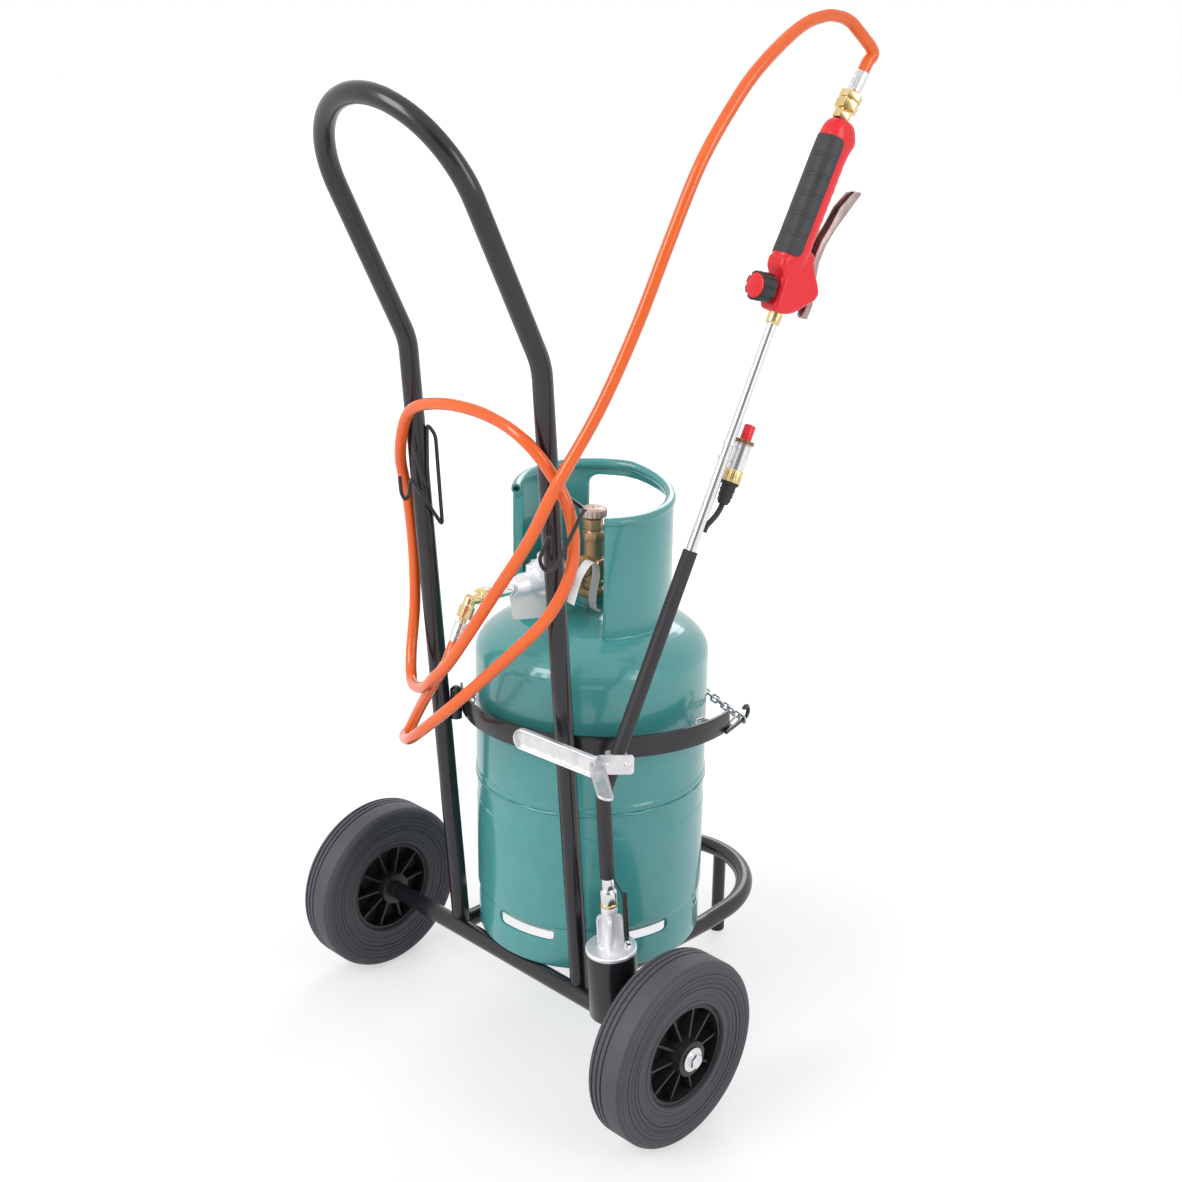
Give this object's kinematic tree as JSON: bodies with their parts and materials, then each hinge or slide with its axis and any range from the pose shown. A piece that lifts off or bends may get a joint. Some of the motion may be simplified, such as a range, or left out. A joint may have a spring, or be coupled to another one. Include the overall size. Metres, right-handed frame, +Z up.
{
  "type": "gas torch trolley",
  "caption": "Two-wheeled tubular trolley that carries an upright gas cylinder with valve, regulator and coiled hose, and a long roofing torch standing in a tubular holder.",
  "frame": {"origin": "on the ground, in the middle of the trolley's plan outline without the hose", "axes": "+Z up, +X towards the wheel beside the torch, +Y away from the operator, towards the front leg"},
  "size_m": [0.6778, 0.6658, 1.3635],
  "materials": {
    "frame_black": "semi-gloss powder coat",
    "cap_black": "matt",
    "zinc_steel": "bright zinc",
    "chain_steel": "bright zinc",
    "tyre_rubber": "matt",
    "hub_black": "matt",
    "cylinder_teal": "gloss paint",
    "valve_brass": "dull, tarnished",
    "bright_brass": "bright",
    "cast_alloy": "as cast",
    "tag_paper": "matt",
    "bell_steel": "heat-blackened",
    "rubber_black": "matt",
    "electrode_black": "matt",
    "handle_red": "gloss",
    "knob_black": "matt",
    "trigger_chrome": "plated",
    "hose_orange": "smooth"
  },
  "bodies": {
    "frame": {"handle_frame": "frame_black", "axle_tube": "frame_black", "base_loop": "frame_black", "front_leg": "frame_black", "leg_cap": "cap_black", "axle_rod": "zinc_steel", "cylinder_band": "frame_black", "band_lugs": "frame_black", "band_hook": "frame_black", "chain": "chain_steel", "hose_hook_left": "frame_black", "hose_hook_right": "frame_black", "torch_holder": "frame_black", "axle_washers": "zinc_steel", "axle_bolts": "zinc_steel", "cylinder_shell": "cylinder_teal", "foot_ring": "cylinder_teal", "guard_collar": "cylinder_teal", "valve_bung": "cylinder_teal", "valve_body": "valve_brass", "valve_gland": "valve_brass", "regulator_nut": "valve_brass", "regulator_body": "cast_alloy", "regulator_outlet": "zinc_steel", "hose_elbow": "bright_brass", "hose_ferrule_low": "zinc_steel", "valve_tag": "tag_paper", "hose_upper": "hose_orange", "hose_lower": "hose_orange"},
    "wheel_left": {"tyre_left": "tyre_rubber", "hub_left": "hub_black"},
    "wheel_right": {"tyre_right": "tyre_rubber", "hub_right": "hub_black"},
    "handwheel": {"valve_handwheel": "valve_brass"},
    "torch": {"burner_bell": "bell_steel", "burner_head": "cast_alloy", "head_ring": "bright_brass", "head_nut": "zinc_steel", "neck_ferrule": "zinc_steel", "neck_sleeve": "rubber_black", "lance_tube": "zinc_steel", "lance_sleeve": "rubber_black", "stand_clamp": "zinc_steel", "stand_legs": "zinc_steel", "stand_screws": "zinc_steel", "electrode": "electrode_black", "igniter_clips": "zinc_steel", "igniter_body": "cast_alloy", "igniter_nut": "bright_brass", "igniter_boot": "rubber_black", "lance_collar": "bright_brass", "torch_handle": "handle_red", "grip_insert": "rubber_black", "trigger_pin": "zinc_steel", "inlet_nut": "bright_brass", "hose_coupling": "bright_brass", "hose_ferrule_top": "zinc_steel"},
    "trigger": {"trigger": "trigger_chrome"},
    "flow_knob": {"flow_knob": "knob_black"},
    "igniter_button": {"igniter_button": "handle_red"}
  },
  "joints": [
    {"name": "wheel_left_spin", "type": "hinge", "parent": "frame", "child": "wheel_left", "pos_m": [-0.2953, -0.10494, 0.125], "axis": [1, 0, 0], "continuous": true},
    {"name": "wheel_right_spin", "type": "hinge", "parent": "frame", "child": "wheel_right", "pos_m": [0.2953, -0.10494, 0.125], "axis": [1, 0, 0], "continuous": true},
    {"name": "handwheel_turn", "type": "hinge", "parent": "frame", "child": "handwheel", "pos_m": [0, 0.04056, 0.73], "axis": [0, 0, 1], "range_deg": [0, 540]},
    {"name": "torch_lift", "type": "slide", "parent": "frame", "child": "torch", "axis": [0, -0.0837, 0.9965], "range_m": [0, 0.1], "deforming": ["hose_upper"]},
    {"name": "trigger_squeeze", "type": "hinge", "parent": "torch", "child": "trigger", "pos_m": [0.24393, 0.1585, 1.04537], "axis": [0.9898, -0.1421, -0.0119], "range_deg": [0, 8], "stiffness_Nm_per_rad": 2, "springref_deg": -14.32},
    {"name": "flow_knob_turn", "type": "hinge", "parent": "torch", "child": "flow_knob", "pos_m": [0.23661, 0.10742, 1.04686], "axis": [-0.1356, -0.9639, 0.2292], "range_deg": [0, 270]},
    {"name": "igniter_press", "type": "slide", "parent": "torch", "child": "igniter_button", "axis": [-0.067, -0.3892, -0.9187], "range_m": [0, 0.005], "stiffness_N_per_m": 600, "springref_m": -0.004}
  ]
}
